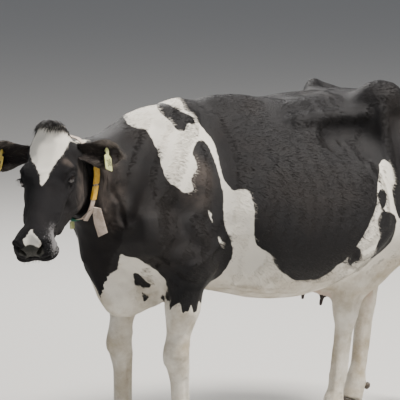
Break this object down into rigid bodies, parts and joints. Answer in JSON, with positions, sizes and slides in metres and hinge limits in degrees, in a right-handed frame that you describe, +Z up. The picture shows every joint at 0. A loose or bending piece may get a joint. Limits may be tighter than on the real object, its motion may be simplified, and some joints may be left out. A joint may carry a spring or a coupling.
{
  "type": "cow",
  "caption": "Life-size dairy cow standing still on level ground with its head turned to its left, wearing a neck strap with number blocks and plain ear tags.",
  "frame": {"origin": "centre of the bounding box at floor level, under the middle of the cow", "axes": "+Z up; the cow's body lies along X with its front toward -X, and its left side faces -Y"},
  "size_m": [2.3416, 0.9328, 1.4843],
  "materials": {
    "coat": "short glossy hair, black with white patches",
    "bare_skin": "thin skin with sparse hair, matte",
    "horn": "worn horn, satin",
    "eye": "wet, glossy",
    "webbing": "woven webbing, worn and stained",
    "number_block": "satin, a little dirty",
    "clip": "satin",
    "tag": "flexible plastic, satin"
  },
  "bodies": {
    "root": {"trunk": "coat", "neck": "coat", "head": "coat", "ear_left": "coat", "ear_right": "coat", "tail_root": "coat", "tail_middle": "coat", "tail_switch": "coat", "foreleg_left": "coat", "foreleg_right": "coat", "hindleg_left": "coat", "hindleg_right": "coat", "udder": "bare_skin", "teat_front_left": "bare_skin", "teat_front_right": "bare_skin", "teat_back_left": "bare_skin", "teat_back_right": "bare_skin", "claw_foreleg_left_outer": "horn", "claw_foreleg_left_inner": "horn", "claw_foreleg_right_outer": "horn", "claw_foreleg_right_inner": "horn", "claw_hindleg_left_outer": "horn", "claw_hindleg_left_inner": "horn", "claw_hindleg_right_outer": "horn", "claw_hindleg_right_inner": "horn", "dewclaw_foreleg_left_outer": "horn", "dewclaw_foreleg_left_inner": "horn", "dewclaw_foreleg_right_outer": "horn", "dewclaw_foreleg_right_inner": "horn", "dewclaw_hindleg_left_outer": "horn", "dewclaw_hindleg_left_inner": "horn", "dewclaw_hindleg_right_outer": "horn", "dewclaw_hindleg_right_inner": "horn", "eye_left": "eye", "eye_right": "eye", "collar_strap": "webbing", "collar_end": "webbing", "collar_block_upper": "number_block", "collar_block_lower": "number_block", "collar_clip": "clip", "ear_tag_left": "tag", "ear_tag_right": "tag", "collar_tag": "tag"}
  },
  "joints": []
}
